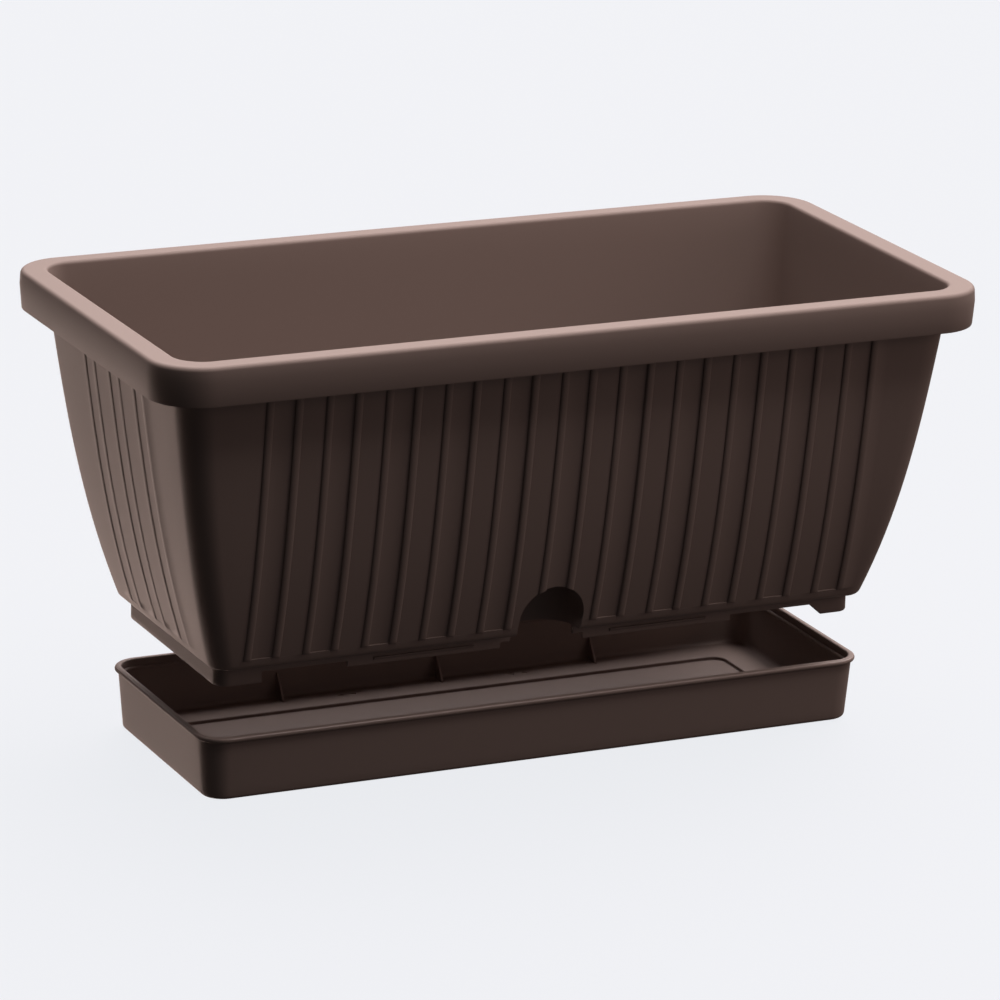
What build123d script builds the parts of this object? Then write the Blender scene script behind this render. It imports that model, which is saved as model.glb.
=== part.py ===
"""Rectangular planter trough held above its clip-on saucer, with a soil grid and felt wicks.

Frame: origin on the floor under the middle of the box, +X along the trough, -Y the front with
the watering port, +Z up. Millimetres.
"""
import os

from build123d import *

# --- Where the box is held above the floor in the rest position ----------------------------------
BOX_Z = 65.7                 # underside of the end skirts

# --- Planter box, heights measured from the underside of its end skirts --------------------------
RIM_HALF = (252.6, 126.3)    # outer half length and half depth of the rim
RIM_RADIUS = 30.0
RIM_TOP = 201.9
BAND_HEIGHT = 22.6           # upright outer face of the rim
BAND_DRAFT = 1.0             # how far the band leans in at its lower edge
RIM_ROUND = 2.8
WALL = 2.4
WALL_HALF = (236.2, 111.3)   # outside of the walls just under the band
WALL_RADIUS = (18.0, 12.0)   # corner radius under the band and at the base
WALL_SLOPE = 0.127           # inset for each millimetre below the band
WALL_BOW = 11.3              # extra inset at the base, growing with the cube of the depth
BASE_Z = 11.6                # underside of the floor
BASE_ROUND = 4.5
FLOOR = 2.6
BAND_BOTTOM = RIM_TOP - BAND_HEIGHT
WALL_DROP = BAND_BOTTOM - BASE_Z
WALL_LEVELS = 8              # sections in each lofted skin

# --- Ribs: channels, each a shallow recess between two raised beads ------------------------------
RIB_BOTTOM = 18.0
RIB_TOP = BAND_BOTTOM + 4.0
BEAD_WIDTH = 4.8
BEAD_HEIGHT = 1.3
RECESS_DEPTH = 0.9
SKIN_ROOT = 1.2              # how far a bead runs into the wall
LONG_CHANNELS = 11
LONG_PITCH = 35.4
LONG_BEADS_APART = 17.2
END_CHANNELS = 3
END_PITCH = 38.0
END_BEADS_APART = 15.0

# --- Skirt, clip tabs and port under and in the front wall ----------------------------------------
SKIRT_HALF = (198.8, 69.8)
SKIRT_RADIUS = 8.0
SKIRT_WALL = 2.4
SKIRT_BOTTOM = 6.5           # long sides; the ends reach down to zero
FOOT_INNER = 172.0           # where the deep end skirt starts
FOOT_RAMP = 8.5
TAB_SPAN = (26.0, 120.0)
TAB_BOTTOM = 3.0
LEDGE_SPAN = (43.0, 104.0)
LEDGE_Z = 7.0
LEDGE_OUT = 0.9
PORT_RADIUS = 20.0
PORT_SPRING = 22.0           # height of the centre of the arch
PORT_AXIS_Y = -72.0          # upright axis of the rounded pocket behind the arch
PORT_WALL = 2.2

# --- Saucer ----------------------------------------------------------------------------------------
SAUCER_SET = (-1.6, -0.7)      # how far off the box's middle the saucer stands
SAUCER_HEIGHT = 37.9
SAUCER_BASE_HALF = (202.6, 72.5)
SAUCER_TOP_HALF = (205.7, 74.9)
SAUCER_RADIUS = (13.0, 15.0)
SAUCER_WALL = 2.2
SAUCER_FLOOR = 4.0
SAUCER_BASE_ROUND = 2.6
LIP_OUT = 1.8
LIP_HEIGHT = 3.4
BEAD_Z = 32.0                # inner bead that the clip ledges snap past
BEAD_OUT = 1.0
PANEL_HALF = (177.0, 48.0)
PANEL_RADIUS = 8.0
PANEL_DEPTH = 1.8
GUSSET_DEPTH = 12.0
GUSSET_THICK = 1.6
GUSSET_TOP = 29.0
BACK_GUSSETS = (-100.0, 0.0, 100.0)
FRONT_GUSSETS = (-100.0, 100.0)

# --- Soil grid and wicks, heights in the box's own measure ----------------------------------------
FLOOR_TOP = BASE_Z + FLOOR
GRID_LEG = 16.0
GRID_PLATE = 2.4
GRID_CLEAR = 1.6             # gap between the grid and the walls
GRID_BOTTOM = FLOOR_TOP + 0.3
GRID_TOP = GRID_BOTTOM + GRID_LEG + GRID_PLATE
LEG_RADIUS = 5.0
LEG_SPOTS = [(x, y) for x in (-170.0, -60.0, 60.0, 170.0) for y in (-42.0, 42.0)]
SLOT_PITCH = 20.0
SLOT_SIZE = (5.0, 30.0)
WICK_X = (-135.0, -80.0, 80.0, 135.0)
WICK_Y = 8.0
WICK_WIDTH = 20.0
WICK_THICK = 3.2
WICK_SPAN = 16.0             # outside width over the two hanging legs
WICK_BOTTOM = -14.0
DRAIN_RADIUS = 4.0
DRAIN_SPOTS = [(x, y) for x in (-165.0, -107.0, -35.0, 35.0, 107.0, 165.0) for y in (-30.0, 30.0)]


def wall_inset(z: float) -> float:
    """Inset of the wall at a height, from its size just under the band."""
    drop = BAND_BOTTOM - z
    return WALL_SLOPE * drop + WALL_BOW * (max(drop, 0.0) / WALL_DROP) ** 3


def wall_half(z: float, grow: float = 0.0) -> tuple[float, float]:
    """Half length and half depth of the wall's outside at a height, moved out by grow."""
    inset = wall_inset(z) - grow
    return WALL_HALF[0] - inset, WALL_HALF[1] - inset


def wall_section(z: float, grow: float) -> Sketch:
    """Rounded rectangle of the wall at a height, moved out by grow."""
    half_x, half_y = wall_half(z, grow)
    down = (BAND_BOTTOM - z) / WALL_DROP
    radius = WALL_RADIUS[0] + (WALL_RADIUS[1] - WALL_RADIUS[0]) * down + grow
    return Pos(0, 0, z) * RectangleRounded(2 * half_x, 2 * half_y, radius)


def wall_skin(bottom: float, top: float, grow: float) -> Part:
    """Solid between two heights, bounded by the wall's outside moved out by grow."""
    step = (top - bottom) / (WALL_LEVELS - 1)
    return loft([wall_section(bottom + step * i, grow) for i in range(WALL_LEVELS)])


def block(x: tuple[float, float], y: tuple[float, float], z: tuple[float, float]) -> Part:
    """Box between two corners."""
    size = Box(x[1] - x[0], y[1] - y[0], z[1] - z[0])
    return Pos((x[0] + x[1]) / 2, (y[0] + y[1]) / 2, (z[0] + z[1]) / 2) * size


def ring(half: tuple[float, float], radius: float, thick: float, bottom: float, top: float) -> Part:
    """Upright rounded-rectangle ring, thick towards the inside."""
    outer = RectangleRounded(2 * half[0], 2 * half[1], radius)
    inner = RectangleRounded(2 * (half[0] - thick), 2 * (half[1] - thick), radius - thick)
    return Pos(0, 0, bottom) * extrude(outer - inner, top - bottom)


def wall_strip(axis: int, out: float, root: float, width: float) -> Part:
    """Upright strip that follows the wall's curve in the middle of a side.

    axis 1 gives a strip on the -Y wall, axis 0 one on the -X wall.
    """
    heights = [RIB_BOTTOM + (RIB_TOP - RIB_BOTTOM) * i / 6 for i in range(7)]
    outer = [(-(wall_half(z)[axis] + out), z) for z in heights]
    inner = [(-(wall_half(z)[axis] - root), z) for z in heights]
    edges = [Spline(*outer), Line(outer[-1], inner[-1]), Spline(*inner), Line(inner[0], outer[0])]
    face = make_face(edges)
    plane = Plane.YZ if axis == 1 else Plane.XZ
    return extrude(plane * face, width / 2, both=True)


def bead_strip(axis: int) -> Part:
    """Raised bead with its two outer edges rounded."""
    strip = wall_strip(axis, BEAD_HEIGHT, SKIN_ROOT, BEAD_WIDTH)
    across = Axis.Y if axis == 1 else Axis.X
    long_edges = strip.edges().filter_by(lambda edge: edge.length > 4 * BEAD_WIDTH)
    return fillet(long_edges.sort_by(across)[:2], BEAD_HEIGHT * 0.85)


def channel_places(axis: int) -> tuple[list[float], float]:
    """Centres of the channels along a side, and half the distance between a channel's beads."""
    count, pitch, apart = (
        (LONG_CHANNELS, LONG_PITCH, LONG_BEADS_APART) if axis == 1 else (END_CHANNELS, END_PITCH, END_BEADS_APART)
    )
    return [(i - (count - 1) / 2) * pitch for i in range(count)], apart / 2


def along(axis: int, place: float) -> Location:
    """Shift along a side: along X for the long sides, along Y for the ends."""
    return Pos(place, 0, 0) if axis == 1 else Pos(0, place, 0)


def both_sides(axis: int, shape: Part) -> list[Part]:
    """The shape on one side and its mirror image on the other."""
    return [shape, mirror(shape, about=Plane.XZ if axis == 1 else Plane.YZ)]


def ribs(axis: int) -> tuple[list[Part], list[Part]]:
    """Beads to add and recesses to cut on one pair of sides."""
    centres, half_apart = channel_places(axis)
    bead = bead_strip(axis)
    recess = wall_strip(axis, BEAD_HEIGHT, RECESS_DEPTH, 2 * half_apart - BEAD_WIDTH)
    beads = []
    recesses = []
    for centre in centres:
        recesses += both_sides(axis, along(axis, centre) * recess)
        for side in (-half_apart, half_apart):
            beads += both_sides(axis, along(axis, centre + side) * bead)
    return beads, recesses


def rim() -> Part:
    """Flanged rim: a flat top and an upright band, hollow underneath."""
    low = (RIM_HALF[0] - BAND_DRAFT, RIM_HALF[1] - BAND_DRAFT)
    sections = []
    hollows = []
    for z, half, radius in ((BAND_BOTTOM, low, RIM_RADIUS - BAND_DRAFT), (RIM_TOP, RIM_HALF, RIM_RADIUS)):
        sections.append(Pos(0, 0, z) * RectangleRounded(2 * half[0], 2 * half[1], radius))
        inner = RectangleRounded(2 * (half[0] - WALL), 2 * (half[1] - WALL), radius - WALL)
        hollows.append(Pos(0, 0, z - WALL) * inner)
    solid = loft(sections)
    solid = fillet(solid.faces().sort_by(Axis.Z)[-1].edges(), RIM_ROUND)
    return solid - loft(hollows)


def port_prism(grow: float, bottom: float) -> Part:
    """Arched tunnel from the front, rounded off at its back by an upright cylinder."""
    radius = PORT_RADIUS + grow
    outline = Pos(0, PORT_SPRING) * Circle(radius)
    outline += Pos(0, (PORT_SPRING + bottom) / 2) * Rectangle(2 * radius, PORT_SPRING - bottom)
    front = -wall_half(PORT_SPRING + PORT_RADIUS)[1] - 8.0
    depth = radius - front + PORT_AXIS_Y
    tunnel = Pos(0, PORT_AXIS_Y + radius, 0) * extrude(Plane.XZ * outline, depth)
    column = Pos(0, PORT_AXIS_Y, 50) * Cylinder(radius, 140)
    return tunnel & (column + block((-radius, radius), (front, PORT_AXIS_Y), (-20, 120)))


def skirt() -> list[Part]:
    """Skirt under the floor: shallow on the long sides, deep round the ends."""
    top = BASE_Z + 1.0
    shallow = ring(SKIRT_HALF, SKIRT_RADIUS, SKIRT_WALL, SKIRT_BOTTOM, top)
    deep = ring(SKIRT_HALF, SKIRT_RADIUS, SKIRT_WALL, 0.0, top)
    slope = Polyline((-FOOT_INNER - FOOT_RAMP, -1), (FOOT_INNER + FOOT_RAMP, -1), (FOOT_INNER, SKIRT_BOTTOM),
                     (FOOT_INNER, top + 1), (-FOOT_INNER, top + 1), (-FOOT_INNER, SKIRT_BOTTOM), close=True)
    middle = extrude(Plane.XZ * make_face(slope), 2 * SKIRT_HALF[1], both=True)
    return [shallow, deep - middle]


def clip_tabs() -> list[Part]:
    """Four tabs that hang below the long skirts, each with a fine snap ledge."""
    outside = -SKIRT_HALF[1]
    tab = block(TAB_SPAN, (outside, outside + SKIRT_WALL), (TAB_BOTTOM, BASE_Z + 1.0))
    profile = Polyline((outside + 0.5, LEDGE_Z - 1.2), (outside - LEDGE_OUT, LEDGE_Z),
                       (outside - LEDGE_OUT, LEDGE_Z + 0.4), (outside + 0.5, LEDGE_Z + 0.4), close=True)
    ledge = Pos(LEDGE_SPAN[0], 0, 0) * extrude(Plane.YZ * make_face(profile), LEDGE_SPAN[1] - LEDGE_SPAN[0])
    tabs = []
    for piece in (tab, ledge):
        for half in both_sides(0, piece):
            tabs += both_sides(1, half)
    return tabs


def planter_box() -> Part:
    """Box moulding: walls, rim, ribs, skirt, clip tabs, port pocket, drain and wick openings."""
    outer = wall_skin(BASE_Z, RIM_TOP, 0.0)
    outer = fillet(outer.faces().sort_by(Axis.Z)[0].edges(), BASE_ROUND)
    inside = wall_skin(FLOOR_TOP, RIM_TOP, -WALL)
    body = rim() + outer
    long_beads, long_recesses = ribs(1)
    end_beads, end_recesses = ribs(0)
    body = body - (long_recesses + end_recesses)
    body = body + (long_beads + end_beads)
    body = body + skirt() + clip_tabs()
    body = body - inside
    rim_face = body.faces().sort_by(Axis.Z)[-1]
    body = fillet(rim_face.inner_wires().edges(), WALL * 0.8)
    body = body + (port_prism(PORT_WALL, BASE_Z) & wall_skin(BASE_Z, BAND_BOTTOM, -0.5))
    body = body - port_prism(0.0, -5.0)
    for x in WICK_X:
        hole = (WICK_SPAN / 2 + 2.0, WICK_WIDTH / 2 + 2.0)
        body = body - block((x - hole[0], x + hole[0]), (WICK_Y - hole[1], WICK_Y + hole[1]), (5.0, FLOOR_TOP + 1))
    drains = [Pos(x, y, BASE_Z) * Cylinder(DRAIN_RADIUS, 12) for x, y in DRAIN_SPOTS]
    return body - drains


def saucer() -> Part:
    """Saucer moulding: floor with recessed panel, flared walls, rolled lip, inner bead, gussets."""
    def section(z: float, grow: float) -> Sketch:
        part = z / SAUCER_HEIGHT
        half_x, half_y, radius = (
            low + (high - low) * part + grow
            for low, high in zip((*SAUCER_BASE_HALF, SAUCER_RADIUS[0]), (*SAUCER_TOP_HALF, SAUCER_RADIUS[1]))
        )
        return Pos(0, 0, z) * RectangleRounded(2 * half_x, 2 * half_y, radius)

    shell = loft([section(0.0, 0.0), section(SAUCER_HEIGHT, 0.0)])
    shell = fillet(shell.faces().sort_by(Axis.Z)[0].edges(), SAUCER_BASE_ROUND)
    lip_half = (SAUCER_TOP_HALF[0] + LIP_OUT, SAUCER_TOP_HALF[1] + LIP_OUT)
    lip = extrude(RectangleRounded(2 * lip_half[0], 2 * lip_half[1], SAUCER_RADIUS[1] + LIP_OUT), LIP_HEIGHT)
    lip = fillet(lip.faces().sort_by(Axis.Z)[0].edges() + lip.faces().sort_by(Axis.Z)[-1].edges(), LIP_HEIGHT * 0.42)
    shell = shell + Pos(0, 0, SAUCER_HEIGHT - LIP_HEIGHT) * lip
    cavity = loft([section(SAUCER_FLOOR, -SAUCER_WALL), section(SAUCER_HEIGHT, -SAUCER_WALL)])
    lower = loft([section(BEAD_Z, -SAUCER_WALL), section(BEAD_Z + 1.0, -SAUCER_WALL)])
    upper = loft([section(BEAD_Z, -SAUCER_WALL - BEAD_OUT), section(BEAD_Z + 1.0, -SAUCER_WALL - BEAD_OUT)])
    panel = Pos(0, 0, SAUCER_FLOOR - PANEL_DEPTH) * extrude(
        RectangleRounded(2 * PANEL_HALF[0], 2 * PANEL_HALF[1], PANEL_RADIUS), PANEL_DEPTH + 1
    )
    tray = shell - cavity - panel
    tray = tray + (lower - upper)
    wall_y = SAUCER_TOP_HALF[1] - SAUCER_WALL / 2
    foot_y = SAUCER_BASE_HALF[1] - SAUCER_WALL - GUSSET_DEPTH
    fin = Polyline((foot_y, SAUCER_FLOOR - 0.5), (wall_y, SAUCER_FLOOR - 0.5), (wall_y, GUSSET_TOP),
                   (wall_y - 0.8, GUSSET_TOP), close=True)
    fin = extrude(Plane.YZ * make_face(fin), GUSSET_THICK / 2, both=True)
    tray = tray + [Pos(x, 0, 0) * fin for x in BACK_GUSSETS]
    return tray + [Pos(x, 0, 0) * mirror(fin, about=Plane.XZ) for x in FRONT_GUSSETS]


def wick_slots(grow: float) -> list[Part]:
    """Two upright slots for each wick, one beside each hanging leg."""
    slots = []
    for x in WICK_X:
        for side in (-1, 1):
            centre = x + side * (WICK_SPAN - WICK_THICK) / 2
            half = WICK_THICK / 2 + grow
            slots.append(block((centre - half, centre + half),
                               (WICK_Y - WICK_WIDTH / 2 - grow, WICK_Y + WICK_WIDTH / 2 + grow),
                               (GRID_BOTTOM, GRID_TOP + 1)))
    return slots


def soil_grid() -> Part:
    """Perforated false floor on eight legs, notched round the port pocket."""
    plate_z = GRID_TOP - GRID_PLATE
    half_x, half_y = wall_half(plate_z, -WALL - GRID_CLEAR)
    plate = Pos(0, 0, plate_z) * extrude(RectangleRounded(2 * half_x, 2 * half_y, WALL_RADIUS[1]), GRID_PLATE)
    edge = ring((half_x - 4, half_y - 4), WALL_RADIUS[1] - 2, 2.0, plate_z - 5.0, plate_z + 0.5)
    notch = Pos(0, PORT_AXIS_Y, 30) * Cylinder(PORT_RADIUS + PORT_WALL + 3.0, 60)
    notch += block((-PORT_RADIUS - 6, PORT_RADIUS + 6), (-120, PORT_AXIS_Y), (0, 60))
    grid = (plate + edge) - notch
    legs = [Pos(x, y, GRID_BOTTOM + (GRID_LEG + 1) / 2) * Cylinder(LEG_RADIUS, GRID_LEG + 1) for x, y in LEG_SPOTS]
    grid = grid + legs
    count = int((2 * half_x - 40) // SLOT_PITCH)
    slots = []
    for i in range(count + 1):
        x = (i - count / 2) * SLOT_PITCH
        for y in (-SLOT_SIZE[1] * 0.75, SLOT_SIZE[1] * 0.75 + 12.0):
            clear = all(abs(x - leg_x) > 9 or abs(y - leg_y) > 24 for leg_x, leg_y in LEG_SPOTS)
            beside = all(abs(x - wick) > WICK_SPAN / 2 + 6 or y < 0 for wick in WICK_X)
            if clear and beside and (abs(x) > 30 or y > 0):
                slots.append(Pos(x, y, plate_z) * Box(SLOT_SIZE[0], SLOT_SIZE[1] * 0.8, 4 * GRID_PLATE))
    return grid - slots - wick_slots(0.4)


def wick(x: float) -> Part:
    """Felt strip folded over a bar of the grid, its two ends hanging down."""
    half = WICK_SPAN / 2
    outer = block((x - half, x + half), (WICK_Y - WICK_WIDTH / 2, WICK_Y + WICK_WIDTH / 2),
                  (WICK_BOTTOM, GRID_TOP + WICK_THICK))
    top_edges = outer.edges().filter_by(Axis.Y).group_by(Axis.Z)[-1]
    outer = fillet(top_edges, WICK_THICK * 0.9)
    half -= WICK_THICK
    gap = block((x - half, x + half), (WICK_Y - WICK_WIDTH, WICK_Y + WICK_WIDTH), (WICK_BOTTOM - 1, GRID_TOP))
    return outer - gap


def save(name: str, shape: Part) -> None:
    """Write one node as a STEP file, and print its volume and size."""
    solid = shape.solid() if len(shape.solids()) == 1 else shape
    export_step(solid, f"parts/{name}.step")
    size = solid.bounding_box().size
    print(f"{name}: solids {len(shape.solids())}, {shape.volume / 1000:.1f} cm3, "
          f"{size.X:.1f} x {size.Y:.1f} x {size.Z:.1f}")


os.makedirs("parts", exist_ok=True)
lifted = Pos(0, 0, BOX_Z)
save("planter_box", lifted * planter_box())
save("saucer", Pos(*SAUCER_SET, 0) * saucer())
save("soil_grid", lifted * soil_grid())
for number, wick_x in enumerate(WICK_X, start=1):
    save(f"wick_{number}", lifted * wick(wick_x))
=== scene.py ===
"""Rectangular planter trough held above its clip-on saucer, with a soil grid and felt wicks.

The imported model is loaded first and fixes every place. The two mouldings and the wicks are then
built over it in more detail, dressed, and set on a pale floor in soft light.

Sizes in the classes are millimetres; a vertex is put down in metres.
"""
from __future__ import annotations

import logging
import math
from collections.abc import Callable, Iterable
from dataclasses import dataclass
from enum import Enum

import bmesh
import bpy
from mathutils import Matrix, Vector, noise

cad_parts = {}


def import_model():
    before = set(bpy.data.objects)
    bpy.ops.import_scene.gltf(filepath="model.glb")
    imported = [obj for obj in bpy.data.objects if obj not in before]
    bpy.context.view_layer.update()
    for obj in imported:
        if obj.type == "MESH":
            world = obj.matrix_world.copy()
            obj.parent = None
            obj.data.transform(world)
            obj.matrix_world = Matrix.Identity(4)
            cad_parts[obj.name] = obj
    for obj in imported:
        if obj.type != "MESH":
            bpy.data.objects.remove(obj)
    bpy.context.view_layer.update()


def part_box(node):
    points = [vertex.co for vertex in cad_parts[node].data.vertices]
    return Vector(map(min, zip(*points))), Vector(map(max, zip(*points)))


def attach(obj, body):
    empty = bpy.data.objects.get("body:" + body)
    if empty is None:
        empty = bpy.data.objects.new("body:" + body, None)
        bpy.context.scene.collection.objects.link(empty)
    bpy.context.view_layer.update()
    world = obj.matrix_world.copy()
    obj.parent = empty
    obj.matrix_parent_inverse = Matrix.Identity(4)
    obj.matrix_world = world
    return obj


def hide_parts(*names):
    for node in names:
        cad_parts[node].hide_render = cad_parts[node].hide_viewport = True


LOG = logging.getLogger("planter")
MM = 0.001
Pair = tuple[float, float]


class Side(Enum):
    """Side of a rounded rectangle, in the order of a walk round it seen from above."""

    FRONT = 0
    RIGHT = 1
    BACK = 2
    LEFT = 3

    def is_long(self) -> bool:
        """Whether the side runs along the trough."""
        return self in (Side.FRONT, Side.BACK)

    def place(self, along: float, out: float) -> Pair:
        """Turn a place measured on this side into x and y.

        Args:
            along: Distance from the middle of the side, in the direction of the walk.
            out: Distance from the middle of the rectangle.

        Returns:
            The x and y of the place.
        """
        return {
            Side.FRONT: (along, -out),
            Side.RIGHT: (out, along),
            Side.BACK: (-along, out),
            Side.LEFT: (-out, -along),
        }[self]


class Joining(Enum):
    """How a helper solid changes a piece."""

    ADD = "UNION"
    CUT = "DIFFERENCE"
    KEEP_COMMON = "INTERSECT"


@dataclass(frozen=True)
class Station:
    """One place on the way round a rounded rectangle.

    Attributes:
        side: Side that the place is on, or has just left.
        along: Distance from the middle of the side.
        share: Share of the way from the last fixed place to the corner, signed like along.
        turn: Angle through the corner after the side.
    """

    side: Side
    along: float
    share: float = 0.0
    turn: float = 0.0

    def on_straight(self) -> bool:
        """Whether the place is between the side's fixed places."""
        return self.share == 0.0 and self.turn == 0.0


@dataclass(frozen=True)
class Walk:
    """The stations round a rounded rectangle.

    Attributes:
        long_places: Fixed distances from the middle of a long side.
        end_places: Fixed distances from the middle of an end.
        spare: Number of places between the last fixed place and the corner.
        corner_steps: Number of steps in each corner.
    """

    long_places: tuple[float, ...]
    end_places: tuple[float, ...]
    spare: int = 1
    corner_steps: int = 12

    def stations(self) -> list[Station]:
        """List the stations in the order of the walk.

        Returns:
            Stations, where the first isn't repeated at the end.
        """
        made = []
        for side in Side:
            places = self.long_places if side.is_long() else self.end_places
            steps = [(i + 1) / (self.spare + 1) for i in range(self.spare)]
            made += [Station(side, places[0], -share) for share in reversed(steps)]
            made += [Station(side, place) for place in places]
            made += [Station(side, places[-1], share) for share in steps]
            made += [
                Station(side, places[-1], 1.0, math.radians(90) * i / self.corner_steps)
                for i in range(self.corner_steps + 1)
            ]
        return made


@dataclass(frozen=True)
class Line:
    """One closed line of a skin, a rounded rectangle.

    Attributes:
        half: Half length and half depth.
        radius: Corner radius.
        height: Height, or a function that gives it for a station.
        out: Function that gives how far a station stands out of the line.
    """

    half: Pair
    radius: float
    height: float | Callable[[Station], float]
    out: Callable[[Station], float] | None = None

    def vertex(self, station: Station) -> Vector:
        """Place a station on the line.

        Args:
            station: Place on the way round.

        Returns:
            The vertex in metres.
        """
        half_along, half_out = self.half if station.side.is_long() else self.half[::-1]
        straight = half_along - self.radius
        limit = min(abs(station.along), straight)
        if station.turn or abs(station.share) == 1.0:
            along = straight + self.radius * math.sin(station.turn)
            out = half_out - self.radius + self.radius * math.cos(station.turn)
        elif station.share:
            along = math.copysign(limit + abs(station.share) * (straight - limit), station.along)
            out = half_out
        else:
            along, out = math.copysign(limit, station.along), half_out
        stand = self.out(station) if self.out else 0.0
        along += stand * math.sin(station.turn)
        out += stand * math.cos(station.turn)
        x, y = station.side.place(along, out)
        z = self.height(station) if callable(self.height) else self.height
        return Vector((x, y, z)) * MM


@dataclass(frozen=True)
class Arc:
    """Quarter-round or shorter between two faces of a profile.

    Attributes:
        centre: Distance inwards from the outermost half sizes, and the height of the centre.
        radius: Radius of the round.
        start: First angle in degrees, 0 pointing out and 90 up.
        stop: Last angle in degrees.
        steps: Number of steps.
    """

    centre: Pair
    radius: float
    start: float
    stop: float
    steps: int = 5

    def points(self) -> list[Pair]:
        """List the points, each an outward distance and a height."""
        angles = [
            math.radians(self.start + (self.stop - self.start) * i / self.steps)
            for i in range(self.steps + 1)
        ]
        return [
            (self.centre[0] + self.radius * math.cos(a), self.centre[1] + self.radius * math.sin(a))
            for a in angles
        ]


class Skin:
    """Closed skin made of lines swept round a rounded rectangle."""

    def __init__(self, walk: Walk, lines: list[Line]) -> None:
        """Keep the walk and the lines.

        Args:
            walk: Stations of every line.
            lines: Lines from the middle of the underside, out, up and in again.
        """
        self.stations = walk.stations()
        self.lines = lines

    def mesh(self) -> bmesh.types.BMesh:
        """Bend a grid round the stations, sew its seam and close both ends.

        Returns:
            A closed mesh whose faces point outwards.
        """
        made = bmesh.new()
        columns, rows = len(self.stations), len(self.lines) - 1
        bmesh.ops.create_grid(made, x_segments=columns, y_segments=rows, size=0.5)
        for vertex in made.verts:
            column = round((vertex.co.x + 0.5) * columns) % columns
            row = round((vertex.co.y + 0.5) * rows)
            vertex.co = self.lines[row].vertex(self.stations[column])
        bmesh.ops.remove_doubles(made, verts=made.verts, dist=0.002 * MM)
        bmesh.ops.dissolve_degenerate(made, dist=0.002 * MM, edges=made.edges)
        bmesh.ops.holes_fill(made, edges=[e for e in made.edges if e.is_boundary], sides=0)
        bmesh.ops.recalc_face_normals(made, faces=made.faces)
        return made


def piece_from(made: bmesh.types.BMesh, name: str, sharp: float = 34.0) -> bpy.types.Object:
    """Turn a mesh into a smooth-shaded piece in the scene.

    Args:
        made: Mesh in metres, freed here.
        name: Name of the piece.
        sharp: Angle in degrees above which an edge stays sharp.

    Returns:
        The piece.
    """
    mesh = bpy.data.meshes.new(name)
    made.to_mesh(mesh)
    made.free()
    piece = bpy.data.objects.new(name, mesh)
    bpy.context.scene.collection.objects.link(piece)
    shade(piece, sharp)
    return piece


def shade(piece: bpy.types.Object, sharp: float = 34.0) -> None:
    """Shade a piece smooth, with sharp edges kept.

    Args:
        piece: Piece to shade.
        sharp: Angle in degrees above which an edge stays sharp.
    """
    piece.data.shade_smooth()
    piece.data.set_sharp_from_angle(angle=math.radians(sharp))


def join_solid(piece: bpy.types.Object, tool: bpy.types.Object, how: Joining) -> None:
    """Add, cut or intersect a helper solid, and remove the helper.

    Args:
        piece: Piece that is changed.
        tool: Helper solid.
        how: What is done with it.
    """
    modifier = piece.modifiers.new("join", "BOOLEAN")
    modifier.operation = how.value
    modifier.solver = "EXACT"
    modifier.object = tool
    graph = bpy.context.evaluated_depsgraph_get()
    done = bpy.data.meshes.new_from_object(piece.evaluated_get(graph))
    before = piece.data
    piece.modifiers.clear()
    piece.data = done
    bpy.data.meshes.remove(before)
    bpy.data.meshes.remove(tool.data)
    done.name = piece.name


def cylinder(made: bmesh.types.BMesh, centre: Vector, radius: float, height: float, steps: int = 40) -> None:
    """Add an upright closed cylinder.

    Args:
        made: Mesh that it is added to.
        centre: Centre in millimetres.
        radius: Radius in millimetres.
        height: Height in millimetres.
        steps: Number of sides.
    """
    bmesh.ops.create_cone(
        made,
        cap_ends=True,
        segments=steps,
        radius1=radius * MM,
        radius2=radius * MM,
        depth=height * MM,
        matrix=Matrix.Translation(centre * MM),
    )


def cuboid(made: bmesh.types.BMesh, x: Pair, y: Pair, z: Pair) -> None:
    """Add a box between two corners.

    Args:
        made: Mesh that it is added to.
        x: Lowest and highest x in millimetres.
        y: Lowest and highest y in millimetres.
        z: Lowest and highest z in millimetres.
    """
    middle = Vector(((x[0] + x[1]) / 2, (y[0] + y[1]) / 2, (z[0] + z[1]) / 2)) * MM
    size = Matrix.Diagonal(Vector((x[1] - x[0], y[1] - y[0], z[1] - z[0], 1 / MM)) * MM)
    bmesh.ops.create_cube(made, size=1.0, matrix=Matrix.Translation(middle) @ size)


def fine_steps(low: float, high: float, count: int) -> list[float]:
    """Even steps from low to high, both included."""
    return [low + (high - low) * i / count for i in range(count + 1)]


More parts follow.
